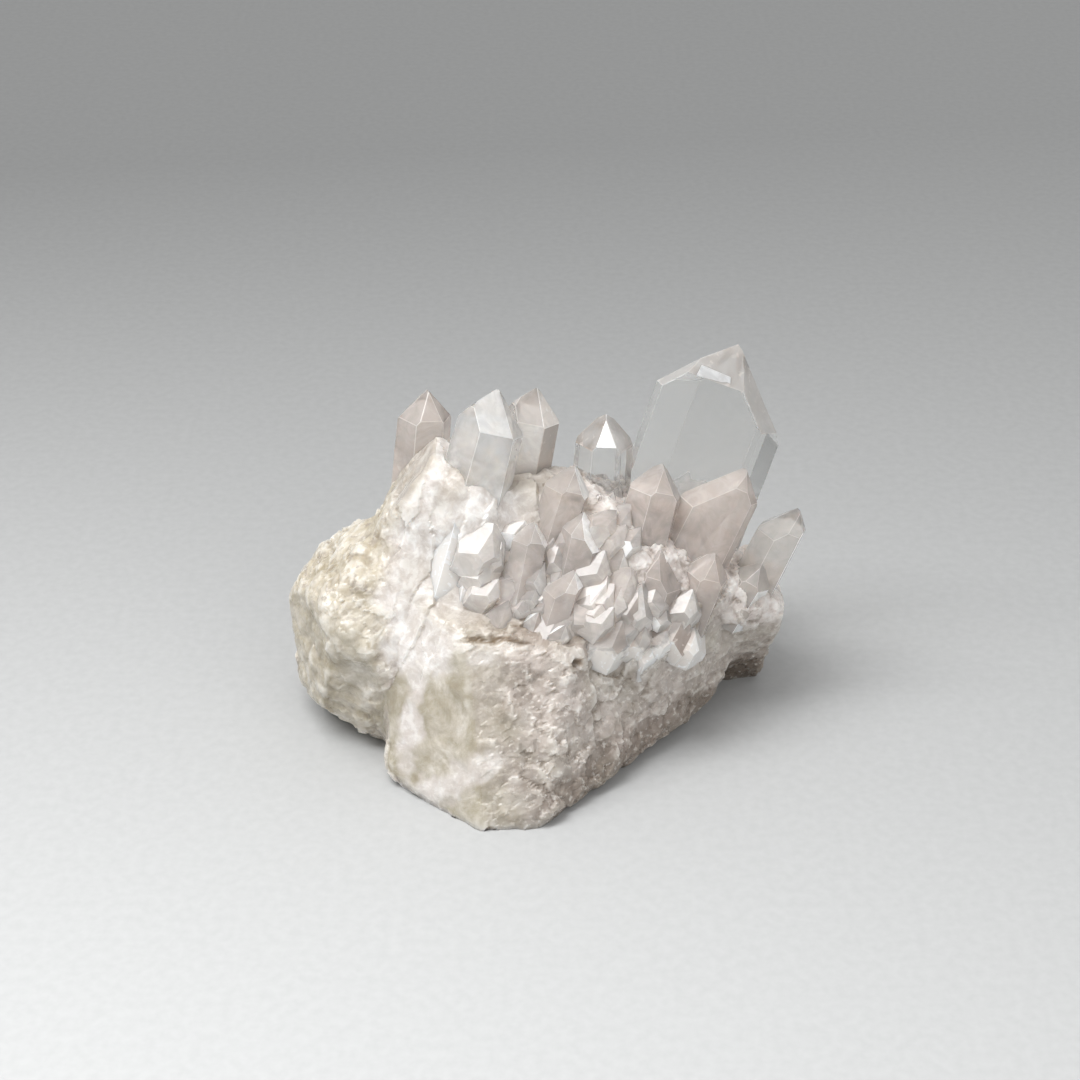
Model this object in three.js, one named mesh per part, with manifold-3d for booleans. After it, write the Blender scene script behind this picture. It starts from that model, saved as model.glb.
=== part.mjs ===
// Quartz crystal cluster: clear and milky quartz crystals grown on a lump of massive quartz.
// Millimetres, +Z up, +X to the right and +Y to the back of the cluster, which stands on its broken base.
// The matrix is one solid. Crystals that grew into each other are one solid too, and each such group
// stands in its own socket in the matrix.
import * as THREE from 'three';
import { mergeVertices } from 'three/addons/utils/BufferGeometryUtils.js';
import { ImprovedNoise } from 'three/addons/math/ImprovedNoise.js';
import Module from 'manifold-3d';

const wasm = await Module();
wasm.setup();

// Driving dimensions
const TIP_ANGLE = 38.2; // degrees between a tip face of quartz and the crystal's long axis
const SOCKET_GAP = 0.3; // between a crystal and the wall of its socket
const ROOT_DEPTH = 4; // how far a crystal reaches below its stated root, where it names no depth of its own
const PRISM_TAPER = 1.2; // degrees that prism faces lean in towards the tip
const BROAD_RELIEF = { size: 10, height: 1.3 }; // swells and hollows of the broken rock
const FINE_RELIEF = { size: 4.5, height: 0.55 }; // lumps and nicks on those

const MILKY_ROCK = new THREE.MeshStandardMaterial({ color: '#cfc6b8', roughness: 0.6, metalness: 0 });
const CLEAR_QUARTZ = new THREE.MeshStandardMaterial({ color: '#dcdcd8', roughness: 0.08, metalness: 0 });
const MILKY_QUARTZ = new THREE.MeshStandardMaterial({ color: '#e6e2da', roughness: 0.2, metalness: 0 });

// Lumps of the matrix. Each is a rounded boulder of the given half sizes, broken flat along its faces:
// a face is given by the way it looks (degrees round from +X, and up from level) and a point on it.
const LUMPS = {
  front_block: {
    centre: [-1, -8, 11], half: [33, 27, 21], detail: 10,
    faces: [
      { looks: 183, up: 4, at: [-22, -12, 12] },
      { looks: 234, up: 21, at: [-14, -23.6, 3] },
      { looks: 222, up: -34, at: [-18.6, -21.4, 2] },
      { looks: 272, up: 29, at: [-5, -27.2, 3] },
      { looks: 312, up: 16, at: [9.5, -18.4, 5] },
      { looks: 320, up: 0, at: [21, -7.5, 10] },
      { looks: 320, up: -38, at: [11, -18, 2.5] },
      { looks: 5, up: -4, at: [26.5, 2, 8] },
      { looks: 330, up: 80, at: [0, -12, 23.8] },
    ],
  },
  left_lump: {
    centre: [-26, 0, 15], half: [12, 14, 17.5], detail: 8,
    faces: [
      { looks: 205, up: 2, at: [-34, -4, 14] },
      { looks: 250, up: -12, at: [-30, -9.5, 10] },
      { looks: 215, up: -50, at: [-30.5, -5, 3] },
      { looks: 175, up: 45, at: [-31.5, 3, 26] },
    ],
  },
  right_foot: {
    centre: [29, 8, 13], half: [10, 12, 16], detail: 6,
    faces: [
      { looks: 2, up: -6, at: [35.5, 5, 10] },
      { looks: 280, up: -30, at: [31, 2.5, 11] },
      { looks: 20, up: 55, at: [33, 3, 21.5] },
    ],
  },
  back_mass: {
    centre: [0, 11, 12], half: [34, 17, 18], detail: 7,
    faces: [
      { looks: 85, up: 8, at: [4, 25, 12] },
      { looks: 140, up: 12, at: [-24, 20, 14] },
      { looks: 40, up: 4, at: [26, 20, 12] },
      { looks: 62, up: 34, at: [12, 20, 23] },
      { looks: 108, up: -28, at: [-8, 23, 5] },
      { looks: 112, up: 36, at: [-12, 19, 23] },
      { looks: 66, up: -24, at: [16, 21.5, 4] },
    ],
  },
  crest: {
    centre: [-3, 3, 22], half: [29, 16, 18], detail: 9,
    faces: [
      { looks: 268, up: 38, at: [0, -7.5, 30.5] },
      { looks: 355, up: 60, at: [14, 0, 34.5] },
      { looks: 182, up: 28, at: [-21, 4, 34] },
      { looks: 92, up: 38, at: [0, 12, 34] },
    ],
  },
  milky_fan: {
    centre: [-15, 2, 28], half: [10.5, 8, 20], detail: 7,
    faces: [
      { looks: 180, up: 35, at: [-19.4, 1, 41.5] },
      { looks: 268, up: 20, at: [-15, -7.2, 31] },
      { looks: 0, up: 50, at: [-9, 2, 43] },
    ],
  },
  right_crest: {
    centre: [16, 4, 18], half: [16, 17, 17], detail: 6,
    faces: [
      { looks: 276, up: 40, at: [18, -9, 21.5] },
      { looks: 0, up: 62, at: [20, 3, 29.5] },
      { looks: 80, up: 42, at: [18, 14, 27] },
      { looks: 314, up: -6, at: [19.5, -9.5, 18] },
    ],
  },
};

// Pits and slots weathered into the front: a centre and three half sizes.
const PITS = [
  { centre: [-8.8, -11.5, 27.5], half: [0.8, 2.4, 2] },
  { centre: [-6.6, -11.5, 27.2], half: [0.8, 2.4, 2.2] },
  { centre: [5, -16.4, 20.6], half: [1.3, 1.8, 1.2] },
  { centre: [11, -12, 23.5], half: [3.4, 2.4, 1.2] },
  { centre: [21, -8.5, 21], half: [4.2, 2.4, 1.2] },
];

// Beds of druse: small crystals that are one with the matrix. A bed is a slope, given as a face is, with its
// reach across and up the slope.
const DRUSE_BEDS = [
  { looks: 268, up: 38, at: [3, -7.5, 30.5], reach: [9, 8], count: 15 },
  { looks: 276, up: 40, at: [18, -7, 23.5], reach: [9, 5], count: 11 },
  { looks: 355, up: 60, at: [13, 2, 33.5], reach: [6, 7], count: 7 },
  { looks: 92, up: 38, at: [-3, 13, 33], reach: [13, 6], count: 9 },
  { looks: 80, up: 42, at: [17, 15, 26], reach: [8, 6], count: 6 },
];
const DRUSE_WIDTH = [2.8, 5]; // least and most width of a druse crystal
const DRUSE_LENGTH = [1.1, 1.8]; // least and most length above its root, as shares of its width
const DRUSE_DEPTH = 2; // how far it reaches below its root
const DRUSE_SINK = 0.9; // how far its root is below the rock's surface
const DRUSE_LEAN = new THREE.Vector3(0.2, 0.1, 0.7); // way that the druse leans, with its slope's own
const DRUSE_SPREAD = 0.5; // how far single crystals lean away from the rest
const DRUSE_DROP = 15; // height over its slope from which a crystal's root is looked for

// Crystals, by the group that they are joined in. Each runs from its root to the point where its tip
// faces would meet on its axis. width is across opposite prism faces, sides are the six prism faces'
// shares of half the width, drops lower single tip faces by a share of the width, and turn spins the
// crystal. Face 0 looks towards the front before the turn, and the faces go round to the right.
const EVEN_SIDES = [1, 1, 1, 1, 1, 1];
const FLAT_SIDES = [0.62, 1, 1, 0.62, 1, 1];
const BROAD_SIDES = [0.67, 1.11, 1.05, 0.67, 0.64, 1.11];
const EVEN_TIP = [0, 0.1, 0, 0.12, 0, 0.08];
const WIDE_FRONT = [0.02, 0.02, 0.18, 0.1, 0.22, -0.08];
const LOW_LEFT = [0.22, 0.26, 0.34, 0.24, 0.34, 0.3];
const HIGH_LEFT = [0.02, 0.04, 0, 0, -0.05, -0.22];
const CHISEL_RIGHT = [0.1, 0, 0.05, 0.15, 0.3, 0.35];
const CHISEL_LEFT = [0.1, 0.35, 0.3, 0.15, 0, 0.05];
const CRYSTALS = {
  tall_crystal: [
    {
      root: [19.9, 14.5, 25.6], tip: [30, 20.9, 55.4], width: 18,
      sides: BROAD_SIDES, drops: WIDE_FRONT, turn: -11, taper: 0,
    },
  ],
  milky_crystals: [
    {
      root: [-14.6, -5.4, 21.2], tip: [-5.6, 4.6, 53.5], width: 11,
      drops: HIGH_LEFT, turn: 12, taper: 2.2, depth: 3,
    },
    { root: [-10.6, -8.5, 23], tip: [-7.6, -1, 43], width: 5.6, drops: CHISEL_RIGHT, turn: 4, taper: 3 },
  ],
  left_crystal: [
    { root: [-18.2, 9, 31.6], tip: [-16.2, 11, 52.6], width: 7.6, drops: LOW_LEFT, turn: 15 },
  ],
  blunt_crystal: [
    { root: [-4.2, 6.2, 30.6], tip: [-0.2, 9.2, 51.2], width: 7.6, drops: HIGH_LEFT, turn: -4 },
  ],
  sharp_crystal: [
    { root: [8.7, 6.6, 31.5], tip: [9.7, 9, 47.9], width: 7.8, turn: 4 },
  ],
  centre_crystals: [
    { root: [0.8, -3, 29.5], tip: [5.2, 1, 43.7], width: 6.6, drops: EVEN_TIP, turn: 14 },
    { root: [4.6, -7, 26.5], tip: [7.3, -4, 39.2], width: 6.2, drops: CHISEL_LEFT, turn: -8 },
    { root: [-3, -8.5, 26.5], tip: [-0.7, -5, 37.8], width: 5.2, drops: EVEN_TIP, turn: 20, depth: 6 },
    { root: [2, -10.5, 24], tip: [4.5, -9.5, 33], width: 5, drops: CHISEL_RIGHT, turn: 5, depth: 6 },
  ],
  front_crystals: [
    { root: [21, 0.5, 25], tip: [29.4, 4.5, 43], width: 10, sides: FLAT_SIDES, drops: CHISEL_RIGHT },
    { root: [13.7, -2.2, 26.8], tip: [17.9, 3.3, 42.9], width: 7.6, drops: EVEN_TIP, turn: 16 },
    { root: [15.5, -6.5, 22], tip: [18.5, -5, 33.4], width: 6.4, drops: CHISEL_LEFT, turn: -10 },
    { root: [22, -3.5, 20.3], tip: [25.6, -2.5, 31], width: 6.2, drops: EVEN_TIP, turn: 8, depth: 2 },
  ],
  right_crystals: [
    { root: [30.4, 3, 18.1], tip: [38, 6.5, 34.1], width: 6.8, drops: CHISEL_RIGHT, turn: 10, depth: 1.5 },
    { root: [28.4, 0.3, 18], tip: [32.9, 0.5, 27], width: 5.2, drops: EVEN_TIP, turn: -14, depth: 1.5 },
  ],
  back_left_crystals: [
    { root: [-12, 15.5, 28.5], tip: [-14, 24, 37], width: 6.4, drops: CHISEL_LEFT, turn: 10 },
    { root: [-6.5, 16, 28], tip: [-5, 25.5, 35.5], width: 7, drops: EVEN_TIP, turn: 30 },
  ],
  back_right_crystals: [
    { root: [2.5, 17.5, 22.5], tip: [3.5, 26, 28], width: 6.6, drops: EVEN_TIP, turn: 12 },
    { root: [7, 18.5, 21], tip: [9, 26.5, 25.5], width: 5, drops: CHISEL_RIGHT, turn: -8 },
  ],
};

const radians = THREE.MathUtils.degToRad;
const noise = new ImprovedNoise();

// A unit vector that looks round and up from level by the given degrees.
function direction(looks, up) {
  const level = Math.cos(radians(up));
  return new THREE.Vector3(
    level * Math.cos(radians(looks)), level * Math.sin(radians(looks)), Math.sin(radians(up)));
}

// A closed three.js geometry as a manifold solid.
function solidOf(geometry) {
  const bare = geometry.clone();
  bare.deleteAttribute('normal');
  bare.deleteAttribute('uv');
  const merged = mergeVertices(bare, 1e-4);
  return new wasm.Manifold(new wasm.Mesh({
    numProp: 3,
    vertProperties: new Float32Array(merged.attributes.position.array),
    triVerts: new Uint32Array(merged.index.array),
  }));
}

// A manifold solid as a three.js geometry.
function geometryOf(solid) {
  const { vertProperties, triVerts } = solid.getMesh();
  const geometry = new THREE.BufferGeometry();
  geometry.setAttribute('position', new THREE.BufferAttribute(new Float32Array(vertProperties), 3));
  geometry.setIndex(new THREE.BufferAttribute(new Uint32Array(triVerts), 1));
  geometry.computeVertexNormals();
  return geometry;
}

// Relief of broken rock at a point, in millimetres out from the surface.
function relief(point) {
  const layers = [BROAD_RELIEF, FINE_RELIEF];
  return layers.reduce((sum, { size, height }) =>
    sum + height * noise.noise(point.x / size, point.y / size, point.z / size), 0);
}

// One lump: a ball of half sizes, its points drawn in to each broken face that they stand out of,
// then roughened.
function lumpSolid({ centre, half, detail, faces }) {
  const middle = new THREE.Vector3(...centre);
  const planes = faces.map(({ looks, up, at }) => {
    const normal = direction(looks, up);
    return { normal, reach: normal.dot(new THREE.Vector3(...at).sub(middle)) };
  });
  const ball = mergeVertices(new THREE.IcosahedronGeometry(1, detail)
    .deleteAttribute('normal').deleteAttribute('uv'), 1e-4);
  const spots = ball.attributes.position;
  for (let i = 0; i < spots.count; i += 1) {
    const out = new THREE.Vector3().fromBufferAttribute(spots, i).multiply(new THREE.Vector3(...half));
    const share = planes.reduce((least, { normal, reach }) => {
      const stands = normal.dot(out);
      return stands > reach ? Math.min(least, reach / stands) : least;
    }, 1);
    out.multiplyScalar(share);
    out.addScaledVector(out.clone().normalize(), relief(out.clone().add(middle)));
    spots.setXYZ(i, out.x + middle.x, out.y + middle.y, out.z + middle.z);
  }
  return solidOf(ball);
}

// An even ball of three half sizes, to cut a pit with.
function pitSolid({ centre, half }) {
  const ball = new THREE.IcosahedronGeometry(1, 1).scale(...half).translate(...centre);
  return solidOf(ball);
}

// A crystal: a block cut down by six prism faces and six tip faces, with its flat end sunk below its root.
// spare grows every prism face outwards, for a socket.
function crystalSolid(crystal, spare = 0) {
  const { root, tip, width, sides = EVEN_SIDES, drops = EVEN_TIP } = crystal;
  const { turn = 0, taper = PRISM_TAPER, depth = ROOT_DEPTH } = crystal;
  const foot = new THREE.Vector3(...root);
  const axis = new THREE.Vector3(...tip).sub(foot);
  const length = axis.length();
  const sunk = depth + spare;
  const block = new THREE.BoxGeometry(3 * width, 3 * width, length + sunk)
    .translate(0, 0, (length - sunk) / 2);
  let solid = solidOf(block);
  for (let k = 0; k < 6; k += 1) {
    const looks = -90 + 60 * k + turn;
    const side = direction(looks, taper);
    solid = solid.trimByPlane(side.clone().negate().toArray(), -(width / 2 * sides[k] + spare));
    const slope = direction(looks, TIP_ANGLE);
    const height = length - drops[k] * width + spare;
    solid = solid.trimByPlane(slope.clone().negate().toArray(), -height * slope.z);
  }
  const placed = new THREE.Matrix4().compose(
    foot,
    new THREE.Quaternion().setFromUnitVectors(new THREE.Vector3(0, 0, 1), axis.normalize()),
    new THREE.Vector3(1, 1, 1));
  return solid.transform(placed.elements);
}

// A steady scatter from 0 to 1: value k of crystal i.
const scatter = (i, k) => {
  const wave = Math.sin(i * 12.9898 + k * 78.233) * 43758.5453;
  return wave - Math.floor(wave);
};
const pick = ([least, most], share) => least + (most - least) * share;

// The crystals of one bed of druse, spread evenly over its slope and rooted in the ground below that.
function druseOf({ looks, up, at, reach, count }, ground) {
  const normal = direction(looks, up);
  const across = direction(looks + 90, 0);
  const upward = normal.clone().cross(across);
  return Array.from({ length: count }, (_, i) => {
    const above = new THREE.Vector3(...at).addScaledVector(normal, DRUSE_DROP)
      .addScaledVector(across, reach[0] * (2 * ((0.5 + i * 0.7549) % 1) - 1))
      .addScaledVector(upward, reach[1] * (2 * ((0.5 + i * 0.5698) % 1) - 1));
    const [{ point: root }] = new THREE.Raycaster(above, normal.clone().negate()).intersectObject(ground);
    root.addScaledVector(normal, -DRUSE_SINK);
    const stray = new THREE.Vector3(scatter(i, 1), scatter(i, 2), scatter(i, 3)).subScalar(0.5);
    const axis = normal.clone().add(DRUSE_LEAN).addScaledVector(stray, 2 * DRUSE_SPREAD).normalize();
    const width = pick(DRUSE_WIDTH, scatter(i, 4));
    const tip = root.clone().addScaledVector(axis, width * pick(DRUSE_LENGTH, scatter(i, 5)));
    const drops = [EVEN_TIP, CHISEL_RIGHT, CHISEL_LEFT][i % 3];
    const turn = 60 * scatter(i, 6);
    return { root: root.toArray(), tip: tip.toArray(), width, drops, turn, depth: DRUSE_DEPTH };
  });
}

const joined = (solids) => solids.reduce((sum, next) => sum.add(next));
const largest = (solid) => solid.decompose().reduce((a, b) => (a.volume() > b.volume() ? a : b));

// The matrix: its lumps and druse joined, cut flat where it stands, pitted, and with a socket for every
// crystal of its own.
function matrixSolid() {
  const lumps = joined(Object.values(LUMPS).map(lumpSolid));
  const ground = new THREE.Mesh(geometryOf(lumps));
  const druse = DRUSE_BEDS.flatMap((bed) => druseOf(bed, ground)).map((crystal) => crystalSolid(crystal));
  const rock = joined([lumps, ...druse]).trimByPlane([0, 0, 1], 0);
  const sockets = Object.values(CRYSTALS).flat().map((crystal) => crystalSolid(crystal, SOCKET_GAP));
  return largest(rock.subtract(joined([...PITS.map(pitSolid), ...sockets])));
}

// A named piece with its own origin at the given point.
function piece(name, solid, origin, material) {
  const mesh = new THREE.Mesh(geometryOf(solid).translate(...origin.map((value) => -value)), material);
  mesh.name = name;
  mesh.position.set(...origin);
  return mesh;
}

const MILKY_GROUPS = ['milky_crystals', 'centre_crystals'];
const cluster = new THREE.Group();
cluster.add(piece('matrix', matrixSolid(), [0, 0, 0], MILKY_ROCK));
for (const [name, crystals] of Object.entries(CRYSTALS)) {
  const material = MILKY_GROUPS.includes(name) ? MILKY_QUARTZ : CLEAR_QUARTZ;
  const solid = joined(crystals.map((crystal) => crystalSolid(crystal)));
  cluster.add(piece(name, solid, crystals[0].root, material));
}

// The origin is the middle of the cluster's bottom.
const middle = new THREE.Box3().setFromObject(cluster, true).getCenter(new THREE.Vector3()).setZ(0);
cluster.children.forEach((mesh) => mesh.position.sub(middle));

export default cluster;
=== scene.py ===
"""Quartz crystal cluster on a pale table under a soft light from above."""

import itertools
import math

import bmesh
import bpy
import numpy as np
from mathutils import Matrix, Vector, noise
from mathutils.bvhtree import BVHTree


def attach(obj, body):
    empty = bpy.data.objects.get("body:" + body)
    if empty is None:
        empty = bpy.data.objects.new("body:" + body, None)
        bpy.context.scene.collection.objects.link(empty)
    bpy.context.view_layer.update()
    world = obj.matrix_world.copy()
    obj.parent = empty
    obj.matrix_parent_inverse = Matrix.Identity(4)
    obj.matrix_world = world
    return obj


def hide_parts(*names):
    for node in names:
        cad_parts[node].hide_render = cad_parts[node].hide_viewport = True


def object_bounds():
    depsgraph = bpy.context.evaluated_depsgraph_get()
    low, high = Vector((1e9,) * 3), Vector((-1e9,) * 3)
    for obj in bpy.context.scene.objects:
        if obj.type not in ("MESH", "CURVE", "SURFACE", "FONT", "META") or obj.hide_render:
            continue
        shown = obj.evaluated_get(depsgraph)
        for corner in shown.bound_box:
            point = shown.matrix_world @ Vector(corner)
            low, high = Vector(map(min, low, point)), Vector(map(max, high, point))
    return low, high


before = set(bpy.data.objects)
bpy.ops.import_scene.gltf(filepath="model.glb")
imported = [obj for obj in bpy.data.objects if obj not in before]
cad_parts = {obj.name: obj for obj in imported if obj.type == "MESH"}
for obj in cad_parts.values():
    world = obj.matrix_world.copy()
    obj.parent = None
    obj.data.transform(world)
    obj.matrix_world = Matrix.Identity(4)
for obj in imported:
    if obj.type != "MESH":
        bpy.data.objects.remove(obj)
CAD_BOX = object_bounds()
MM = 0.001

# Refraction of quartz, and what the clear crystals show in the photograph
QUARTZ_IOR = 1.54
TALL_IOR = 1.1  # the table shows almost straight through the tall crystal
CRYSTAL_IOR = 1.18

# Photograph's camera: a little above the cluster, which it faces squarely.
CAMERA_ELEVATION = 32.0
CAMERA_DISTANCE = 330 * MM
CAMERA_FIELD = 26.81
CAMERA_TARGET = Vector((-0.9, 1.3, 31)) * MM

# Rock, in millimetres
ROCK_CELL = 0.42  # spacing of the rock's fine mesh
ROCK_ROUNDING = 14  # rounds of smoothing that wear its edges down
MODEL_SHIFT = (-0.904, 1.268, 0)  # from the places below to the part's own origin

# Lumps of the rock: centre, half sizes, and broken faces (degrees round from +X, degrees up, a point on it).
LUMPS = [
    ((-1, -8, 11), (33, 27, 21), [
        (183, 4, (-22, -12, 12)), (234, 21, (-14, -23.6, 3)), (222, -34, (-18.6, -21.4, 2)),
        (272, 29, (-5, -27.2, 3)), (312, 16, (9.5, -18.4, 5)), (320, 0, (21, -7.5, 10)),
        (320, -38, (11, -18, 2.5)), (5, -4, (26.5, 2, 8)), (330, 80, (0, -12, 23.8))]),
    ((-26, 0, 15), (12, 14, 17.5), [
        (205, 2, (-34, -4, 14)), (250, -12, (-30, -9.5, 10)), (215, -50, (-30.5, -5, 3)),
        (175, 45, (-31.5, 3, 26))]),
    ((29, 8, 13), (10, 12, 16), [
        (2, -6, (35.5, 5, 10)), (280, -30, (31, 2.5, 11)), (20, 55, (33, 3, 21.5))]),
    ((0, 11, 12), (34, 17, 18), [
        (85, 8, (4, 25, 12)), (140, 12, (-24, 20, 14)), (40, 4, (26, 20, 12)), (62, 34, (12, 20, 23)),
        (108, -28, (-8, 23, 5)), (112, 36, (-12, 19, 23)), (66, -24, (16, 21.5, 4))]),
    ((-3, 3, 22), (29, 16, 18), [
        (268, 38, (0, -7.5, 30.5)), (355, 60, (14, 0, 34.5)), (182, 28, (-21, 4, 34)),
        (92, 38, (0, 12, 34))]),
    ((-15, 2, 28), (10.5, 8, 20), [
        (180, 35, (-18.6, 1, 41)), (268, 20, (-15, -7.2, 31)), (0, 50, (-9, 2, 41))]),
    ((-10.4, -1.2, 33), (7, 6, 11.5), []),
    ((16, 4, 18), (16, 17, 17), [
        (276, 40, (18, -9, 21.5)), (0, 62, (20, 3, 29.5)), (80, 42, (18, 14, 27)),
        (314, -6, (19.5, -9.5, 18))]),
]
MILKY_LINE = ((-14.6, -5.4, 22), (-8, 3.2, 44))  # middle of the milky mass
MILKY_LEAN = Vector((9, 10, 32.3)).normalized()  # the way that its crystals grew
PITS = [((-8.8, -11.5, 27.5), 1.6), ((-6.6, -11.5, 27.2), 1.6), ((5, -16.4, 20.6), 0.9),
        ((-1.4, -11.5, 27), 2.6), ((11, -12, 23.5), 1.6), ((14.5, -10.5, 26), 1.6),
        ((21, -8.5, 23), 2.6), ((24, -7.5, 22), 2.2)]
LEFT_RECESS = (-25.6, -7.8, 16)  # glassy hollow in the left lump
LEFT_STAIN = (-28.3, -4.3, 26.5)
UPPER_LEFT = Vector((-0.41, -0.24, 0.88))  # the way that the key light comes from; faces turned this way get painted shade
LEDGE = 24.2  # height of the crack under the druse
WHITE_RIMS = [((-19, -15.5, 22), (-18.8, -17.5, 3)), ((-16, -22, 2), (-6, -25.5, 10)),
              ((-18, -14, 23), (-6, -18, 23))]
ROCK_MASKS = ("cream", "glass", "smooth", "rose", "milk", "edge_highlight", "hollow_shade", "low", "light_facing_shade", "stain")

# Tones of hazy quartz, from smoky through rosy to white
FACE_TONES = [(0.0, "#6f655d"), (0.2, "#a3958b"), (0.4, "#c8bab2"), (0.6, "#ddd4cd"), (0.8, "#f0ece7"),
              (1.0, "#ffffff")]


def look(around, up):
    """Unit vector that looks around from +X and up from level by these degrees."""
    a, u = math.radians(around), math.radians(up)
    return Vector((math.cos(u) * math.cos(a), math.cos(u) * math.sin(a), math.sin(u)))


def merged_copy(name):
    """A CAD node's shape, with its corners merged."""
    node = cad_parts[name]
    bm = bmesh.new()
    bm.from_mesh(node.data)
    bm.transform(node.matrix_world)
    bmesh.ops.remove_doubles(bm, verts=bm.verts, dist=1e-6)
    return bm


def cut_off(bm, point, normal):
    """Takes away what stands out of a plane, and closes the cut."""
    cut = bmesh.ops.bisect_plane(
        bm, geom=bm.verts[:] + bm.edges[:] + bm.faces[:], dist=1e-7, plane_co=point, plane_no=normal,
        clear_outer=True)
    rim = [e for e in cut["geom_cut"] if isinstance(e, bmesh.types.BMEdge)]
    if rim:
        bmesh.ops.holes_fill(bm, edges=rim, sides=0)


def join(bm, other):
    """Adds another shape to bm."""
    mesh = bpy.data.meshes.new("joining")
    other.to_mesh(mesh)
    other.free()
    bm.from_mesh(mesh)
    bpy.data.meshes.remove(mesh)


def new_object(name, bm=None, mesh=None):
    """A new object at the origin, from a shape or a mesh."""
    if mesh is None:
        mesh = bpy.data.meshes.new(name)
        bmesh.ops.recalc_face_normals(bm, faces=bm.faces)
        bm.to_mesh(mesh)
        bm.free()
    mesh.name = name
    obj = bpy.data.objects.new(name, mesh)
    bpy.context.scene.collection.objects.link(obj)
    return obj


def belongs(obj, nodes, material):
    """obj stands for those CAD nodes, in that material."""
    obj.data.materials.clear()
    obj.data.materials.append(material)
    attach(obj, "root")
    if nodes:
        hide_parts(*nodes)


# Numbers for the relief of broken quartz
def hashed(cells, salt):
    """Three even random numbers from 0 to 1 for each whole-number cell."""
    c = cells.astype(np.uint64)
    columns = []
    for k in range(3):
        h = c[:, 0] * np.uint64(73856093) ^ c[:, 1] * np.uint64(19349663) ^ c[:, 2] * np.uint64(83492791)
        h = h + np.uint64(salt * 7919 + k * 104729 + 12345)
        h = (h ^ (h >> np.uint64(16))) * np.uint64(2246822519) & np.uint64(0xFFFFFFFF)
        h = (h ^ (h >> np.uint64(13))) * np.uint64(3266489917) & np.uint64(0xFFFFFFFF)
        h = h ^ (h >> np.uint64(16))
        columns.append((h & np.uint64(0xFFFFFF)).astype(float) / 0xFFFFFF)
    return np.stack(columns, axis=1)


def grains(points, size, salt):
    """For each point, in millimetres: offset from its grain's centre, and that grain's own random numbers."""
    cells = np.floor(points / size).astype(np.int64)
    least = np.full(len(points), np.inf)
    offset = np.zeros_like(points)
    own = np.zeros_like(points)
    for way in itertools.product((-1, 0, 1), repeat=3):
        there = cells + np.array(way) + 100000
        away = points - (there - 100000 + hashed(there, salt)) * size
        far = np.linalg.norm(away, axis=1)
        nearer = far < least
        least = np.where(nearer, far, least)
        offset[nearer] = away[nearer]
        own[nearer] = hashed(there[nearer], salt + 50)
    return offset, own


def swell(points, size, octaves=3):
    """Smooth noise from about -1 to 1 at points in millimetres."""
    return np.array([noise.fractal(Vector(p) / size, 1.0, 2.0, octaves, noise_basis="PERLIN_ORIGINAL")
                     for p in points])


def step(low, high, values):
    """0 below low, 1 above high, and smooth between."""
    t = np.clip((values - low) / (high - low), 0, 1)
    return t * t * (3 - 2 * t)


def facets(points, size, salt, tilt, drop):
    """Height of flat broken grains that each lean their own way, in millimetres."""
    offset, own = grains(points, size, salt)
    lean = (own * 2 - 1) * tilt
    return (offset * lean).sum(axis=1) + (own[:, 0] + own[:, 1] - 1) * drop


def smoothed(mesh, values, rounds):
    """Values at a mesh's points, averaged with their neighbours' a number of times."""
    pairs = np.empty(len(mesh.edges) * 2, dtype=np.int32)
    mesh.edges.foreach_get("vertices", pairs)
    one, other = pairs.reshape(-1, 2).T
    count = np.bincount(np.concatenate((one, other)), minlength=len(values))
    for _ in range(rounds):
        columns = []
        for column in values.T:
            total = np.bincount(one, column[other], len(values))
            total = total + np.bincount(other, column[one], len(values))
            columns.append(total / count)
        values = np.stack(columns, axis=1)
    return values


def away_from_line(points, start, end):
    """Distance of points from a line between two points."""
    along = end - start
    share = np.clip((points - start) @ along / (along @ along), 0, 1)
    return np.linalg.norm(points - start - share[:, None] * along, axis=1)


# Materials
def linear(hex_colour):
    """Linear colour of an sRGB hex value."""
    parts = [int(hex_colour[i:i + 2], 16) / 255 for i in (1, 3, 5)]
    return tuple(c / 12.92 if c <= 0.04045 else ((c + 0.055) / 1.055) ** 2.4 for c in parts) + (1.0,)


def add(tree, kind, inputs=None, stops=None, **settings):
    """A node with its settings. An input is a number, a vector, a hex colour or another node's socket, and
    stops are a ramp's places and hex colours."""
    node = tree.nodes.new(kind)
    for key, value in settings.items():
        setattr(node, key, value)
    for place, (position, colour) in enumerate(stops or []):
        marks = node.color_ramp.elements
        mark = marks[place] if place < len(marks) else marks.new(position)
        mark.position = position
        mark.color = linear(colour)
    for key, value in (inputs or {}).items():
        if isinstance(value, bpy.types.NodeSocket):
            tree.links.new(value, node.inputs[key])
        else:
            node.inputs[key].default_value = linear(value) if isinstance(value, str) else value
    return node


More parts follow.
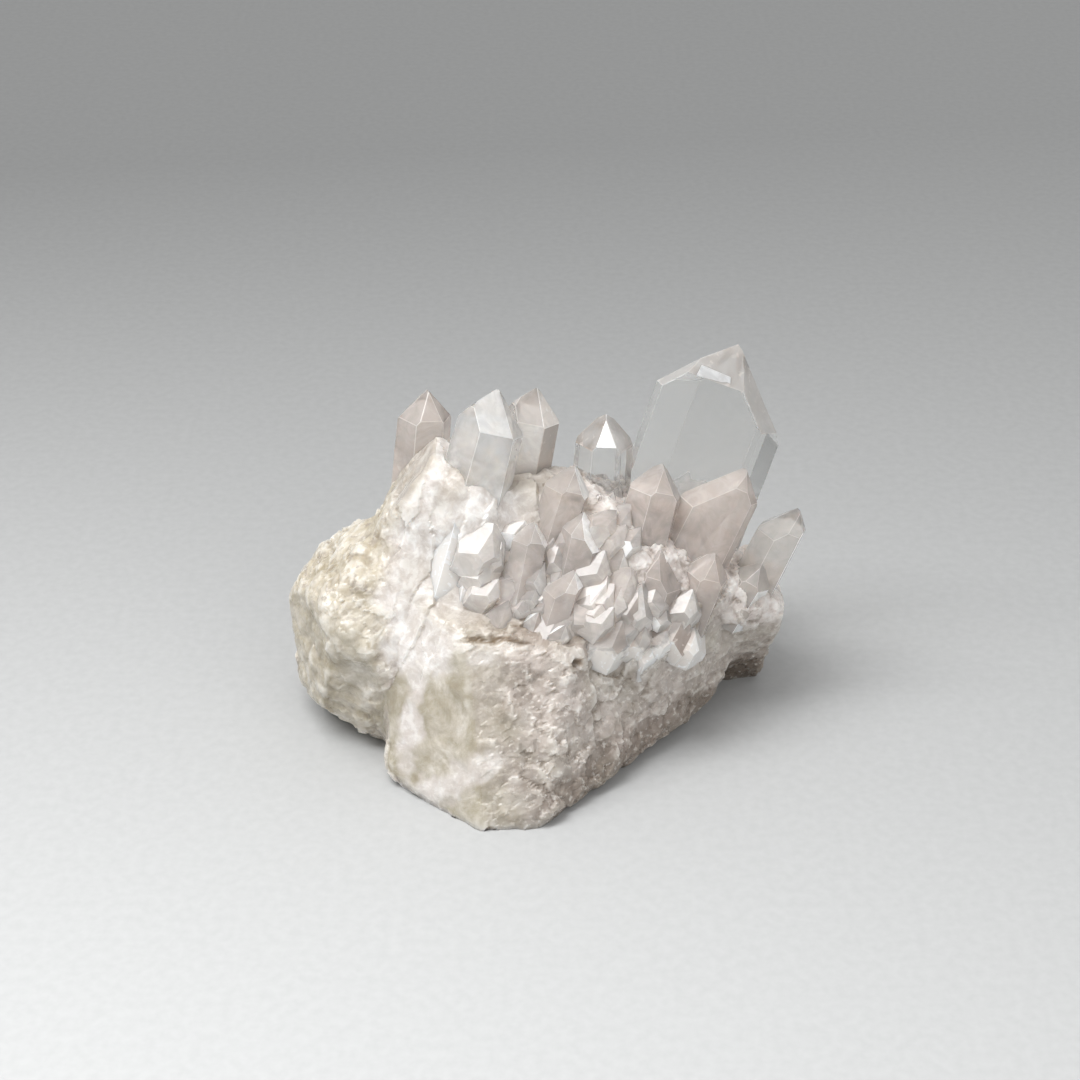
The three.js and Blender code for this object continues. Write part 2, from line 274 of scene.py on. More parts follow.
def massive_quartz():
    """Massive quartz, broken and weathered: cream and grey cloudy patches, white specks, glassy grains that
    each catch the light their own way, and brown stain in the hollows; with a painted highlight on proud
    edges and painted shade in hollows, low on the right and on faces turned to the key light."""
    material = bpy.data.materials.new("massive_quartz")
    material.use_nodes = True
    tree = material.node_tree
    tree.nodes.clear()
    where = add(tree, "ShaderNodeTexCoord").outputs["Object"]
    masks = {
        name: add(tree, "ShaderNodeAttribute", attribute_name=name, attribute_type="GEOMETRY").outputs["Fac"]
        for name in ROCK_MASKS}
    patch = add(tree, "ShaderNodeTexNoise", {
        "Vector": where, "Scale": 1 / (6 * MM), "Detail": 9, "Roughness": 0.68,
        "Distortion": 0.5}).outputs["Fac"]
    hue = add(tree, "ShaderNodeTexNoise", {
        "Vector": where, "Scale": 1 / (11 * MM), "Detail": 5, "Roughness": 0.6}).outputs["Fac"]
    blotch = add(tree, "ShaderNodeTexNoise", {
        "Vector": where, "Scale": 1 / (2 * MM), "Detail": 6, "Roughness": 0.65,
        "Distortion": 0.4}).outputs["Fac"]
    speck = add(tree, "ShaderNodeTexNoise", {
        "Vector": where, "Scale": 1 / (0.8 * MM), "Detail": 4, "Roughness": 0.6}).outputs["Fac"]
    grit = add(tree, "ShaderNodeTexVoronoi", {"Vector": where, "Scale": 1 / (1.1 * MM)}, feature="F1")
    crumb = add(tree, "ShaderNodeSeparateColor", {"Color": grit.outputs["Color"]})
    rough_side = add(tree, "ShaderNodeMath", {0: 1.0, 1: masks["smooth"]}, operation="SUBTRACT").outputs[0]
    sugary = add(tree, "ShaderNodeMath", {0: rough_side, 1: masks["milk"]}, operation="MAXIMUM").outputs[0]
    chalk = add(tree, "ShaderNodeMapRange", {"Value": speck, 1: 0.56, 2: 0.66, 3: 0.0, 4: 0.42},
                interpolation_type="SMOOTHSTEP").outputs[0]
    chalk = add(tree, "ShaderNodeMath", {0: chalk, 1: sugary}, operation="MULTIPLY").outputs[0]
    shade = add(tree, "ShaderNodeMapRange", {"Value": blotch, 1: 0.46, 2: 0.38, 3: 0.0, 4: 0.6},
                interpolation_type="SMOOTHSTEP").outputs[0]
    shade = add(tree, "ShaderNodeMath", {0: shade, 1: rough_side}, operation="MULTIPLY").outputs[0]
    colour = add(tree, "ShaderNodeValToRGB", {"Fac": patch}, [
        (0.3, "#93887d"), (0.42, "#ada399"), (0.52, "#bfb6ae"), (0.62, "#cfc8c0"),
        (0.75, "#e4dfd9")]).outputs["Color"]
    layers = [
        ("MIX", 0.3, add(tree, "ShaderNodeValToRGB", {"Fac": hue}, [
            (0.35, "#bcb8a8"), (0.5, "#c8bfb8"), (0.65, "#cdbfba")]).outputs["Color"]),
        ("MIX", masks["cream"], add(tree, "ShaderNodeValToRGB", {"Fac": patch}, [
            (0.3, "#a3977f"), (0.45, "#c0b6a2"), (0.58, "#d2cabb"), (0.7, "#e3ddd2")]).outputs["Color"]),
        ("MIX", masks["glass"], add(tree, "ShaderNodeValToRGB", {"Fac": patch}, [
            (0.32, "#978d78"), (0.45, "#a9a18d"), (0.55, "#bdb6a7"), (0.66, "#d8d3c9")]).outputs["Color"]),
        ("MIX", masks["rose"], add(tree, "ShaderNodeValToRGB", {"Fac": blotch}, [
            (0.35, "#cdc1bb"), (0.5, "#dcd3ce"), (0.62, "#eee9e5")]).outputs["Color"]),
        ("MIX", masks["milk"], add(tree, "ShaderNodeValToRGB", {"Fac": blotch}, [
            (0.36, "#d6cfc9"), (0.5, "#e3deda"), (0.6, "#f4f2ef")]).outputs["Color"]),
        # Painted highlight: paler on proud edges
        ("MIX", masks["edge_highlight"], "#ebe8e2"),
        # Painted shade: darker in hollows
        ("MIX", masks["hollow_shade"], "#9b9082"),
        ("MIX", shade, "#a0958b"),
        # Painted shade: darker low on the right of the rock
        ("MULTIPLY", masks["low"], "#b4aca4"),
        ("MIX", chalk, "#f3f0eb"),
        # Painted shade: darker on faces turned to the key light
        ("MULTIPLY", masks["light_facing_shade"], "#d2cdc6"),
        ("MIX", masks["stain"], "#77603f"),
    ]
    for blend, share, over in layers:
        colour = add(tree, "ShaderNodeMix", {0: share, 6: colour, 7: over}, data_type="RGBA",
                     blend_type=blend).outputs[2]
    lean = add(tree, "ShaderNodeVectorMath", {0: grit.outputs["Color"], 1: (0.5, 0.5, 0.5)},
               operation="SUBTRACT")
    tilt = add(tree, "ShaderNodeMapRange", {"Value": masks["smooth"], 3: 0.5, 4: 0.12}).outputs[0]
    lean = add(tree, "ShaderNodeVectorMath", {0: lean.outputs[0], "Scale": tilt}, operation="SCALE")
    facing = add(tree, "ShaderNodeVectorMath", {
        0: add(tree, "ShaderNodeNewGeometry").outputs["Normal"], 1: lean.outputs[0]}, operation="ADD")
    facing = add(tree, "ShaderNodeVectorMath", {0: facing.outputs[0]}, operation="NORMALIZE")
    bump = add(tree, "ShaderNodeBump", {
        "Strength": 0.3, "Distance": 0.5 * MM, "Height": blotch, "Normal": facing.outputs[0]})
    gloss = add(tree, "ShaderNodeMapRange", {"Value": crumb.outputs["Blue"], 1: 0.5, 2: 0.9, 3: 0.5, 4: 0.16})
    gloss = add(tree, "ShaderNodeMix", {0: masks["smooth"], 2: gloss.outputs[0], 3: 0.22}, data_type="FLOAT")
    shader = add(tree, "ShaderNodeBsdfPrincipled", {
        "Base Color": colour, "Roughness": gloss.outputs[0], "Normal": bump.outputs["Normal"],
        "IOR": QUARTZ_IOR,
        "Subsurface Weight": 0.6, "Subsurface Radius": (1.0, 0.92, 0.82), "Subsurface Scale": 2.6 * MM})
    add(tree, "ShaderNodeOutputMaterial", {"Surface": shader.outputs["BSDF"]})
    return material


def quartz(name, axis, cloud=(0, 1, 0), tint="#fdfcfa", ior=CRYSTAL_IOR, streak=(1.5, 9)):
    """Quartz with natural glossy faces: each face is as hazy and as pale as its milk and tone say, streaked
    along the crystal's axis, and cloudy at the root (cloud: heights in millimetres where the cloud is full
    and gone, and how much it hides). Its refraction is kept below quartz's own, so that the table shows
    almost straight through a clear face, as it does in the photograph."""
    material = bpy.data.materials.new(name)
    material.use_nodes = True
    tree = material.node_tree
    tree.nodes.clear()
    where = add(tree, "ShaderNodeTexCoord").outputs["Object"]
    milk, tone, edge_highlight = [
        add(tree, "ShaderNodeAttribute", attribute_name=label, attribute_type="GEOMETRY").outputs["Fac"]
        for label in ("milk", "tone", "edge_highlight")]
    turn = axis.to_track_quat("Z", "Y").to_euler()
    along = add(tree, "ShaderNodeMapping", {
        "Vector": where, "Rotation": turn, "Scale": (streak[0] * MM, streak[0] * MM, streak[1] * MM)},
        vector_type="TEXTURE")
    veil = add(tree, "ShaderNodeTexNoise", {
        "Vector": along.outputs[0], "Scale": 1.0, "Detail": 5, "Roughness": 0.65}).outputs["Fac"]
    drift = add(tree, "ShaderNodeTexNoise", {
        "Vector": where, "Scale": 1 / (4 * MM), "Detail": 4}).outputs["Fac"]
    fleck = add(tree, "ShaderNodeTexNoise", {
        "Vector": where, "Scale": 1 / (1.0 * MM), "Detail": 3, "Distortion": 0.6}).outputs["Fac"]
    height = add(tree, "ShaderNodeSeparateXYZ", {"Vector": where}).outputs["Z"]
    height = add(tree, "ShaderNodeMath", {0: drift, 1: 14 * MM, 2: height},
                 operation="MULTIPLY_ADD").outputs[0]
    root = add(tree, "ShaderNodeMapRange", {
        "Value": height, 1: (cloud[0] + 7) * MM, 2: (cloud[1] + 7) * MM, 3: cloud[2], 4: 0.0},
        interpolation_type="SMOOTHSTEP").outputs[0]
    wisp = add(tree, "ShaderNodeTexNoise", {
        "Vector": where, "Scale": 1 / (3.2 * MM), "Detail": 6, "Roughness": 0.6,
        "Distortion": 1.2}).outputs["Fac"]
    wisps = add(tree, "ShaderNodeMapRange", {"Value": wisp, 1: 0.34, 2: 0.66, 3: 0.8, 4: 1.12},
                interpolation_type="SMOOTHSTEP").outputs[0]
    haze = add(tree, "ShaderNodeMath", {0: milk, 1: wisps}, operation="MULTIPLY").outputs[0]
    haze = add(tree, "ShaderNodeMath", {0: haze, 1: root}, operation="MAXIMUM").outputs[0]
    # Painted highlight: eased edges are made hazier here and paler below
    haze = add(tree, "ShaderNodeMath", {0: edge_highlight, 1: 0.2, 2: haze}, operation="MULTIPLY_ADD",
               use_clamp=True).outputs[0]
    pale = add(tree, "ShaderNodeMapRange", {"Value": veil, 1: 0.3, 2: 0.7, 3: -0.05, 4: 0.05}).outputs[0]
    pale = add(tree, "ShaderNodeMath", {0: tone, 1: pale}, operation="ADD").outputs[0]
    # White flecks in the haze: partly white specks in the milk, partly painted sparkle
    specks_and_sparkle = add(tree, "ShaderNodeMapRange", {"Value": fleck, 1: 0.6, 2: 0.68, 3: 0.0, 4: 0.4}).outputs[0]
    specks_and_sparkle = add(tree, "ShaderNodeMath", {0: specks_and_sparkle, 1: haze}, operation="MULTIPLY").outputs[0]
    pale = add(tree, "ShaderNodeMath", {0: pale, 1: specks_and_sparkle}, operation="ADD").outputs[0]
    # Painted highlight: eased edges are made paler
    pale = add(tree, "ShaderNodeMath", {0: edge_highlight, 1: 0.2, 2: pale}, operation="MULTIPLY_ADD",
               use_clamp=True).outputs[0]
    cloudy = add(tree, "ShaderNodeValToRGB", {"Fac": pale}, FACE_TONES).outputs["Color"]
    colour = add(tree, "ShaderNodeMix", {0: haze, 6: tint, 7: cloudy}, data_type="RGBA").outputs[2]
    lines = add(tree, "ShaderNodeMapping", {
        "Vector": where, "Rotation": turn, "Scale": (15 * MM, 15 * MM, 0.6 * MM)}, vector_type="TEXTURE")
    lines = add(tree, "ShaderNodeTexNoise", {
        "Vector": lines.outputs[0], "Scale": 1.0, "Detail": 3}).outputs["Fac"]
    bump = add(tree, "ShaderNodeBump", {"Strength": 0.12, "Distance": 0.2 * MM, "Height": lines})
    bump = add(tree, "ShaderNodeBump", {
        "Strength": 0.08, "Distance": 0.6 * MM, "Height": drift, "Normal": bump.outputs["Normal"]})
    rough = add(tree, "ShaderNodeMapRange", {"Value": haze, 3: 0.03, 4: 0.24}).outputs[0]
    clear = add(tree, "ShaderNodeMath", {0: 1.0, 1: haze}, operation="SUBTRACT").outputs[0]
    shader = add(tree, "ShaderNodeBsdfPrincipled", {
        "Base Color": colour, "Roughness": rough, "Transmission Weight": clear,
        "Normal": bump.outputs["Normal"], "IOR": ior,
        "Coat Weight": 0.6, "Coat Roughness": 0.06, "Coat IOR": QUARTZ_IOR, "Subsurface Weight": 0.8,
        "Subsurface Radius": (1.0, 0.94, 0.88), "Subsurface Scale": 2.2 * MM})
    absorb = add(tree, "ShaderNodeVolumeAbsorption", {"Color": "#e9ddd2", "Density": 6.0})
    add(tree, "ShaderNodeOutputMaterial", {
        "Surface": shader.outputs["BSDF"], "Volume": absorb.outputs["Volume"]})
    return material


# Rock: its lumps joined, evened out and broken into grains
rock_shape = bmesh.new()
for centre, half, faces in LUMPS:
    ball = bmesh.new()
    bmesh.ops.create_icosphere(ball, subdivisions=5, radius=1.0)
    bmesh.ops.scale(ball, vec=half, verts=ball.verts)
    bmesh.ops.translate(ball, vec=centre, verts=ball.verts)
    cut_off(ball, Vector((0, 0, 0)), Vector((0, 0, -1)))
    for around, up, at in faces:
        cut_off(ball, Vector(at), look(around, up))
    join(rock_shape, ball)
bmesh.ops.translate(rock_shape, vec=MODEL_SHIFT, verts=rock_shape.verts)
bmesh.ops.scale(rock_shape, vec=(MM, MM, MM), verts=rock_shape.verts)
coarse = new_object("coarse_rock", rock_shape)
even = coarse.modifiers.new("even", "REMESH")
even.mode = "VOXEL"
even.voxel_size = ROCK_CELL * MM
rock_mesh = bpy.data.meshes.new_from_object(coarse.evaluated_get(bpy.context.evaluated_depsgraph_get()))
bpy.data.objects.remove(coarse)


def columns_of(mesh, what):
    """Places or normals of a mesh's points, one row each."""
    values = np.zeros(len(mesh.vertices) * 3)
    mesh.vertices.foreach_get(what, values)
    return values.reshape(-1, 3)


spots = columns_of(rock_mesh, "co") / MM - np.array(MODEL_SHIFT)
base = spots[:, 2] < 0.3
spots = smoothed(rock_mesh, spots, ROCK_ROUNDING)
out = smoothed(rock_mesh, columns_of(rock_mesh, "normal"), 3)
out /= np.linalg.norm(out, axis=1)[:, None]
x, y, z = spots.T


def near(place, reach):
    """1 at a place, 0 from its reach on, in millimetres."""
    return step(reach, 0.25 * reach, np.linalg.norm(spots - np.array(place), axis=1))


# Where each kind of quartz shows, from 0 to 1 at each point
broad = swell(spots, 9.0)
middling = swell(spots + 80, 4.0)
small = swell(spots + 40, 2.0)
milky = step(12.5, 9, away_from_line(spots, *map(np.array, MILKY_LINE)) + 1.5 * middling)
bed = step(23, 26, z + 1.5 * middling) * step(-12, -8, x) * (1 - milky)
glassy = step(0.7, 0.92, out @ np.array(look(234, 21))) * step(-2, -8, x + 3 * middling) * step(26, 22, z)
lumpy = step(-21, -24, x) * (1 - milky)
rosy = np.clip(step(24, 29, x) * step(15, 18, z) + bed, 0, 1)
recess = near(LEFT_RECESS, 7.5)
pits = np.max([near(place, reach) for place, reach in PITS], axis=0)
around_pits = np.max([near(place, 2 * reach) for place, reach in PITS], axis=0)
# Relief of the broken faces, in millimetres out of the rock
big_facets = facets(spots, 6.5, 1, 0.07, 0.14)
mid_facets = facets(spots, 2.4, 2, 0.12, 0.08)
fine_facets = facets(spots, 1.3, 3, 0.12, 0.05)
grown = spots @ np.array(MILKY_LEAN.to_track_quat("Z", "Y").to_matrix()) / np.array((1, 1, 4))
wander = 0.3 * np.stack((middling, small, broad), axis=1)
long_facets = facets(grown + wander, 3.6, 5, 0.16, 0.1)
dome = grains(spots, 3.4, 4)[0]
domes = 0.5 * (1 - np.clip((dome ** 2).sum(axis=1) / 5.5, 0, 1))
rough_share = (1 - 0.85 * glassy) * (1 - 0.92 * milky) * (1 - 0.5 * recess)
raised = 0.5 * broad + 0.22 * middling + rough_share * (big_facets + 0.08 * small + mid_facets + fine_facets)
raised += milky * long_facets + lumpy * (1 - recess) * (domes - 0.15) - 1.2 * recess - 1.3 * pits
crack = step(0.5, 0.1, np.abs(z - LEDGE - 0.04 * x - 0.9 * middling)) * step(0.3, 0.6, -out[:, 1])
crack *= step(-13, -8, x) * step(20, 14, x)
raised -= 0.45 * crack
moved = spots + out * raised[:, None] + np.array(MODEL_SHIFT)
moved = np.clip(moved, np.array(CAD_BOX[0]) / MM, np.array(CAD_BOX[1]) / MM)
moved[base, 2] = 0
rock_mesh.vertices.foreach_set("co", (moved * MM).ravel())
rock_mesh.update()
# Colour masks: white rims and brown stain, a painted highlight on proud edges, and painted shade in the
# hollows, low on the right and on the faces turned to the key light
proud = ((moved - smoothed(rock_mesh, moved, 10)) * out).sum(axis=1)
rim_way = [away_from_line(spots, np.array(start), np.array(end)) for start, end in WHITE_RIMS]
white_rim = step(2.6, 0.8, np.min(rim_way, axis=0) + 1.6 * middling + 0.8 * small)
masks = {
    "cream": (1 - recess) * np.clip(
        0.9 * lumpy + 0.9 * step(21, 23, z) * step(-4, -9, x + 2 * middling), 0, 1),
    "glass": np.clip(0.85 * glassy + 0.7 * recess, 0, 1) * (1 - white_rim),
    "smooth": np.clip(glassy + 0.85 * milky + recess, 0, 1),
    "rose": 0.9 * rosy * (1 - milky),
    "milk": np.clip(0.95 * milky + 0.6 * white_rim * (1 - milky), 0, 1),
    # Painted highlight: paler where the rock stands proud of its neighbours
    "edge_highlight": 0.5 * step(0.05, 0.25, proud),
    # Painted shade: darker where the rock sinks below its neighbours
    "hollow_shade": 0.5 * step(-0.05, -0.3, proud) * (1 - milky),
    # Painted shade: darker low down on the right half, and a little low on the right foot
    "low": 0.9 * step(-5, 5, x) * step(10, 4, z + 2 * middling) + 0.2 * step(24, 28, x) * step(17, 13, z),
    # Painted shade: darker on the faces turned up and left, toward the key light
    "light_facing_shade": step(0.5, 0.95, out @ np.array(UPPER_LEFT)) * step(-24, -18, x) * (1 - glassy),
    "stain": np.clip(0.7 * around_pits * step(-0.4, 0.2, small)
                     + 0.55 * near(LEFT_STAIN, 6) * step(0, 0.5, small)
                     + 0.9 * crack * step(-0.5, 0, small + middling), 0, 0.9),
}
for label, values in masks.items():
    attribute = rock_mesh.attributes.new(label, "FLOAT", "POINT")
    attribute.data.foreach_set("value", values.astype(np.float32))
rock = new_object("matrix_rock", mesh=rock_mesh)
belongs(rock, ["matrix"], massive_quartz())

# Druse: beds of small crystals on the crest, by the slope that they stand on (degrees round, degrees up and
# a point, with the reach across and up the slope), and how many stand there.
DRUSE_BEDS = [
    (268, 38, (3, -7.5, 30.5), (10, 8), 52),
    (276, 40, (17, -6, 24.5), (8, 4.5), 34),
    (355, 60, (13, 2, 33.5), (6, 7), 24),
    (92, 38, (-3, 13, 33), (13, 6), 30),
    (80, 42, (17, 15, 26), (8, 6), 20),
]
DRUSE_WIDTH = (3.6, 7.0)
DRUSE_LENGTH = 1.35  # share of the width
TIP_SHOWN = (0.2, 2.4)  # how far a tip stands out of the slope
DRUSE_LEAN = Vector((8.4, 4, 18)).normalized()
TIPS = [(0, 0.1, 0, 0.12, 0, 0.08), (0.1, 0, 0.05, 0.15, 0.3, 0.35), (0.1, 0.35, 0.3, 0.15, 0, 0.05)]
TIP_SLOPE = 38.2  # degrees up that a tip face looks
SPREAD = (0.7549, 0.5698)  # steps across and up a bed that spread the crystals evenly
EDGE_EASE = 0.07 * MM


def quartz_point(width, length, turn, drops):
    """A six-sided crystal with a pointed tip, standing on the origin, in metres."""
    bm = bmesh.new()
    radius = width / math.sqrt(3)
    bmesh.ops.create_cone(bm, cap_ends=True, segments=6, radius1=radius, radius2=radius,
                          depth=length + 2 * width,
                          matrix=Matrix.Translation((0, 0, (length - width) / 2 + width / 2)))
    for k in range(6):
        cut_off(bm, Vector((0, 0, length - drops[k] * width)), look(60 * k + 30, TIP_SLOPE))
    cut_off(bm, Vector((0, 0, 0)), Vector((0, 0, -1)))
    bmesh.ops.rotate(bm, verts=bm.verts, matrix=Matrix.Rotation(turn, 3, "Z"))
    return bm


def dressed(bm, face_look, ease=True):
    """Gives each face the milk and tone of its look, eases the edges if asked, and marks the eased ones,
    which their material paints paler as a painted highlight.
    """
    bm.normal_update()
    layers = [bm.faces.layers.float.new(label) for label in ("milk", "tone", "edge_highlight")]
    for face in bm.faces:
        face[layers[0]], face[layers[1]] = face_look(face)
    if not ease:
        return bm
    eased = bmesh.ops.bevel(bm, geom=bm.edges[:], offset=EDGE_EASE, offset_type="OFFSET", affect="EDGES",
                            segments=1, profile=0.5, material=-1, clamp_overlap=True)
    for face in eased["faces"]:
        face[layers[2]] = 1.0
    return bm


def chance(place, k):
    """A steady chance from 0 to 1 for a place in metres."""
    return math.sin(place.dot(Vector((12989.8, 78233.1, 37719.3))) + 5.7 * k) * 43758.5453 % 1


def druse_look(face):
    """Rosy haze, darker as painted shade on faces turned to the key light, with a smoky face here and there
    and a few painted white as a painted flash of reflected light.
    """
    place = face.calc_center_median()
    luck = chance(place, 1)
    if luck < 0.06:
        return 0.5, 0.25
    # A few faces painted white: a painted flash of reflected light
    if luck > 0.97:
        return 0.95, 0.9
    # Painted shade: faces turned to the key light are darker
    light_facing_shade = max(0, face.normal.dot(UPPER_LEFT))
    return 0.3 + 0.3 * chance(place, 2), 0.76 - 0.36 * light_facing_shade ** 2 + 0.12 * chance(place, 3)


def grown_together(shapes):
    """One closed shape from crystals that grew through each other."""
    grown = bpy.data.collections.new("growing")
    first, *rest = [new_object("growing", shape) for shape in shapes]
    for obj in rest:
        grown.objects.link(obj)
    union = first.modifiers.new("union", "BOOLEAN")
    union.operation = "UNION"
    union.operand_type = "COLLECTION"
    union.collection = grown
    union.solver = "MANIFOLD"
    mesh = bpy.data.meshes.new_from_object(first.evaluated_get(bpy.context.evaluated_depsgraph_get()))
    for obj in [first] + rest:
        bpy.data.objects.remove(obj)
    bpy.data.collections.remove(grown)
    bm = bmesh.new()
    bm.from_mesh(mesh)
    bpy.data.meshes.remove(mesh)
    return bm


def scatter(i, k):
    """A steady scatter from 0 to 1: value k of crystal i."""
    return math.sin(i * 12.9898 + k * 78.233) * 43758.5453 % 1


def pick(ends, share):
    """A value between two ends."""
    return ends[0] + (ends[1] - ends[0]) * share


tree_of_rock = BVHTree.FromPolygons(
    [v.co for v in rock_mesh.vertices], [p.vertices for p in rock_mesh.polygons])
druse_points = []
for around, up, at, reach, count in DRUSE_BEDS:
    slope = look(around, up)
    across = look(around + 90, 0)
    upward = slope.cross(across)
    for i in range(count):
        above = (Vector(at) + Vector(MODEL_SHIFT) + slope * 15
                 + across * reach[0] * (2 * ((0.5 + i * SPREAD[0]) % 1) - 1)
                 + upward * reach[1] * (2 * ((0.5 + i * SPREAD[1]) % 1) - 1))
        tip = tree_of_rock.ray_cast(above * MM, -slope)[0] + slope * pick(TIP_SHOWN, scatter(i, 7)) * MM
        stray = Vector([scatter(i, k) - 0.5 for k in (1, 2, 3)])
        axis = (0.5 * slope + DRUSE_LEAN + 0.5 * stray).normalized()
        width = pick(DRUSE_WIDTH, scatter(i, 4)) * MM
        length = width * DRUSE_LENGTH
        point = quartz_point(width, length, math.radians(24 * scatter(i, 6)), TIPS[i % 3])
        upright = Vector((0, 0, 1)).rotation_difference(axis).to_matrix().to_4x4()
        place = Matrix.Translation(tip - axis * length) @ upright
        bmesh.ops.transform(point, verts=point.verts, matrix=place)
        druse_points.append(point)
druse = new_object("druse", dressed(grown_together(druse_points), druse_look, ease=False))
belongs(druse, [], quartz("milky_quartz_druse", DRUSE_LEAN, (20, 23, 0.9), "#fbf5f1"))

# Crystals: slot, way and turn of the main crystal, haze and tone of its prism and tip faces, cloud at the
# root (full below, gone above, most), tint, and the faces that look different in the photograph.
CRYSTALS = {
    "tall_crystal": ("clear_quartz", (10.1, 6.4, 29.8), -11,
        (0.0, 0.4), (0.0, 0.2), (24, 30, 0.5), "#fbfcfb", {
        ("prism", 0): (0.06, 0.4), ("tip", 0): (0.62, 0.1), ("tip", 1): (0.55, 0.1), ("tip", 5): (0.5, 0.1)}),
    "milky_crystals": ("milky_quartz", (9, 10, 32.3), 12,
        (0.2, 0.8), (0.3, 0.75), (38, 47, 0.85), "#fdfcfa", {
        ("tip", 5): (0.15, 0.6), ("tip", 0): (0.45, 0.85), ("tip", 1): (0.4, 0.75)}),
    "left_crystal": ("clear_quartz", (2, 2, 21), 15,
        (0.3, 0.45), (0.3, 0.5), (36, 46, 0.7), "#f8f0ea", {
        ("prism", 0): (0.35, 0.6), ("tip", 0): (0.4, 0.35)}),
    "blunt_crystal": ("clear_quartz", (4, 3, 20.6), -4,
        (0.2, 0.55), (0.35, 0.42), (34, 42, 0.7), "#faf5f0", {
        ("prism", 0): (0.45, 0.8), ("prism", 5): (0.15, 0.5),
        ("prism", 1): (0.6, 0.05), ("tip", 1): (0.6, 0.65)}),
    "sharp_crystal": ("clear_quartz", (1, 2.4, 16.4), 4,
        (0.1, 0.4), (0.1, 0.25), (30, 35, 0.5), "#fbfcfb", {
        # The front tip face is painted white all over: a painted highlight
        ("tip", 5): (0.75, 0.06), ("tip", 4): (0.6, 0.06), ("tip", 0): (0.92, 1.0), ("tip", 1): (0.5, 0.2)}),
    "centre_crystals": ("milky_quartz", (4.4, 4, 14.2), 14,
        (0.35, 0.42), (0.35, 0.36), (28, 36, 0.55), "#fbf6f2", {
        ("tip", 5): (0.45, 0.25), ("tip", 0): (0.45, 0.5), ("tip", 1): (0.85, 0.9)}),
    "front_crystals": ("clear_quartz", (8.4, 4, 18), 0,
        (0.34, 0.37), (0.36, 0.35), (24, 30, 0.5), "#faf3ee", {
        ("tip", 5): (0.4, 0.42), ("tip", 0): (0.36, 0.28),
        ("tip", 1): (0.36, 0.22), ("prism", 1): (0.36, 0.27)}),
    "right_crystals": ("clear_quartz", (7.6, 3.5, 16), 10,
        (0.25, 0.3), (0.25, 0.25), (17, 25, 0.55), "#fbf9f5", {
        ("prism", 1): (0.85, 0.95)}),
    "back_left_crystals": ("clear_quartz", (-2, 8.5, 8.5), 10,
        (0.4, 0.5), (0.35, 0.5), (27, 34, 0.8), "#fbf9f5", {}),
    "back_right_crystals": ("clear_quartz", (1, 8.5, 5.5), 12,
        (0.4, 0.5), (0.35, 0.5), (22, 27, 0.8), "#fbf9f5", {}),
}

# Painted highlight: a thin white sheet on the tall crystal's tip where a reflection shows; corners and
# thickness in millimetres, haze and tone
HIGHLIGHT_SHEET_CORNERS = [(22.83, 16.94, 51.51), (27.06, 15.71, 50.09), (27.02, 14.9, 49.2), (21.98, 15.63, 50.41)]
HIGHLIGHT_SHEET_THICKNESS = 0.3
HIGHLIGHT_SHEET_LOOK = (0.8, 0.95)


def crystal_look(face, upright, turn, prism, tip, odd_faces):
    """Haze and tone of a face, by which prism or tip face of its crystal it is."""
    own = upright @ face.normal
    which = round((math.degrees(math.atan2(own.y, own.x)) + 90 - turn) / 60) % 6
    kind = "tip" if own.z > 0.3 else "prism"
    return odd_faces.get((kind, which), tip if kind == "tip" else prism)


for node_name, (slot, way, turn, prism, tip, cloud, tint, odd_faces) in CRYSTALS.items():
    axis = Vector(way).normalized()
    upright = axis.rotation_difference(Vector((0, 0, 1)))
    shape = merged_copy(node_name)
    bmesh.ops.dissolve_limit(shape, angle_limit=math.radians(0.6), verts=shape.verts, edges=shape.edges)
    dressed(shape, lambda face: crystal_look(face, upright, turn, prism, tip, odd_faces))
    ior = TALL_IOR if node_name == "tall_crystal" else CRYSTAL_IOR
    material = quartz(slot + "_" + node_name, axis, cloud, tint, ior)
    belongs(new_object(node_name + "_quartz", shape), [node_name], material)

highlight_sheet_shape = bmesh.new()
highlight_sheet_face = highlight_sheet_shape.faces.new([highlight_sheet_shape.verts.new(Vector(corner) * MM) for corner in HIGHLIGHT_SHEET_CORNERS])
highlight_sheet_face.normal_update()
bmesh.ops.translate(highlight_sheet_shape, verts=highlight_sheet_shape.verts, vec=-highlight_sheet_face.normal * HIGHLIGHT_SHEET_THICKNESS / 2 * MM)
bmesh.ops.solidify(highlight_sheet_shape, geom=highlight_sheet_shape.faces[:], thickness=-HIGHLIGHT_SHEET_THICKNESS * MM)
# A thin white sheet standing for a reflection: a painted highlight
highlight_sheet = new_object("painted_highlight_sheet", dressed(highlight_sheet_shape, lambda face: HIGHLIGHT_SHEET_LOOK))
belongs(highlight_sheet, [], quartz("clear_quartz_painted_highlight", Vector((0, 0, 1))))

# Camera
away = look(-90, CAMERA_ELEVATION)
camera = bpy.data.objects.new("camera", bpy.data.cameras.new("camera"))
camera.data.angle = math.radians(CAMERA_FIELD)
camera.data.clip_start = 0.01
camera.location = CAMERA_TARGET + away * CAMERA_DISTANCE
camera.rotation_euler = (-away).to_track_quat("-Z", "Y").to_euler()
bpy.context.scene.collection.objects.link(camera)
bpy.context.scene.camera = camera

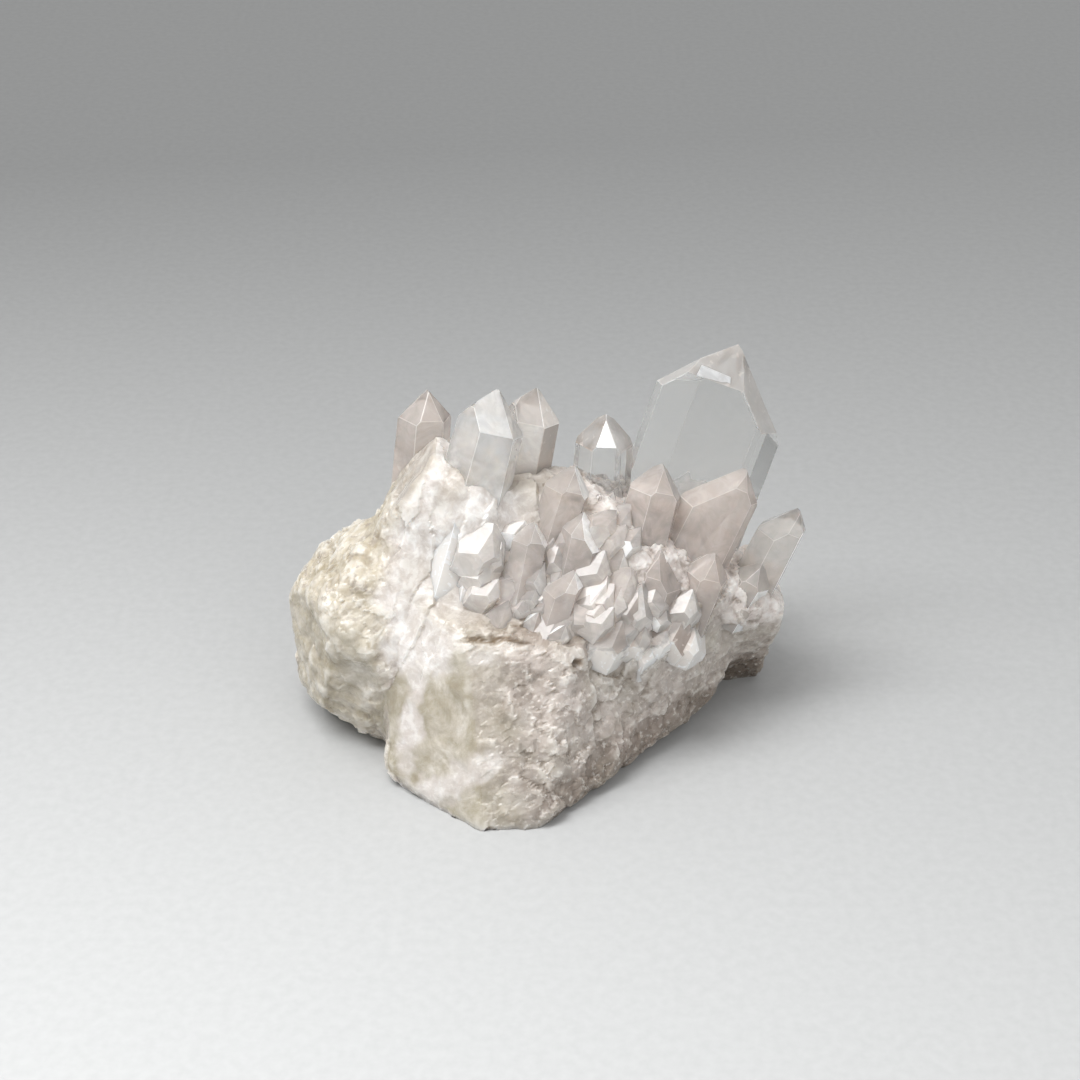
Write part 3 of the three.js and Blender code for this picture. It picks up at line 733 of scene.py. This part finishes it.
# Table
table_shape = bmesh.new()
bmesh.ops.create_grid(table_shape, x_segments=1, y_segments=1, size=3.0)
table = new_object("table", table_shape)
table_material = bpy.data.materials.new("pale_paper")
table_material.use_nodes = True
table_tree = table_material.node_tree
table_tree.nodes.clear()
paper = add(table_tree, "ShaderNodeTexNoise", {
    "Vector": add(table_tree, "ShaderNodeTexCoord").outputs["Object"], "Scale": 1 / (1.5 * MM), "Detail": 2})
paper = add(table_tree, "ShaderNodeValToRGB", {"Fac": paper.outputs["Fac"]}, [
    (0.3, "#b4b5b5"), (0.7, "#b9baba")])
paper = add(table_tree, "ShaderNodeBsdfPrincipled", {
    "Base Color": paper.outputs["Color"], "Roughness": 0.8, "Specular IOR Level": 0.2})
add(table_tree, "ShaderNodeOutputMaterial", {"Surface": paper.outputs["BSDF"]})
table.data.materials.append(table_material)


def softbox(name, place, aim, size, power):
    """A square soft light."""
    light = bpy.data.lights.new(name, "AREA")
    light.size = size
    light.energy = power
    obj = bpy.data.objects.new(name, light)
    obj.location = place
    obj.rotation_euler = (Vector(aim) - Vector(place)).to_track_quat("-Z", "Y").to_euler()
    bpy.context.scene.collection.objects.link(obj)


softbox("key", (-0.2, -0.12, 0.46), (-0.127, -0.771, 0), 0.38, 5.2)
softbox("fill", (0.28, -0.42, 0.36), (0.02, -0.1, 0.0), 0.4, 0.6)
world = bpy.data.worlds.new("room")
world.use_nodes = True
sky = world.node_tree
up = add(sky, "ShaderNodeSeparateXYZ", {"Vector": add(sky, "ShaderNodeTexCoord").outputs["Generated"]})
glow = add(sky, "ShaderNodeMapRange", {"Value": up.outputs["Z"], 3: 0.27, 4: 0.74},
           interpolation_type="SMOOTHSTEP")
sky.links.new(glow.outputs[0], sky.nodes["Background"].inputs["Strength"])
sky.nodes["Background"].inputs["Color"].default_value = (1, 1, 1, 1)
scene = bpy.context.scene
scene.world = world
scene.view_settings.view_transform = "Standard"
scene.cycles.use_denoising = True
scene.cycles.max_bounces = 14
scene.cycles.transmission_bounces = 14
scene.cycles.glossy_bounces = 4
scene.cycles.diffuse_bounces = 3
scene.cycles.caustics_reflective = False
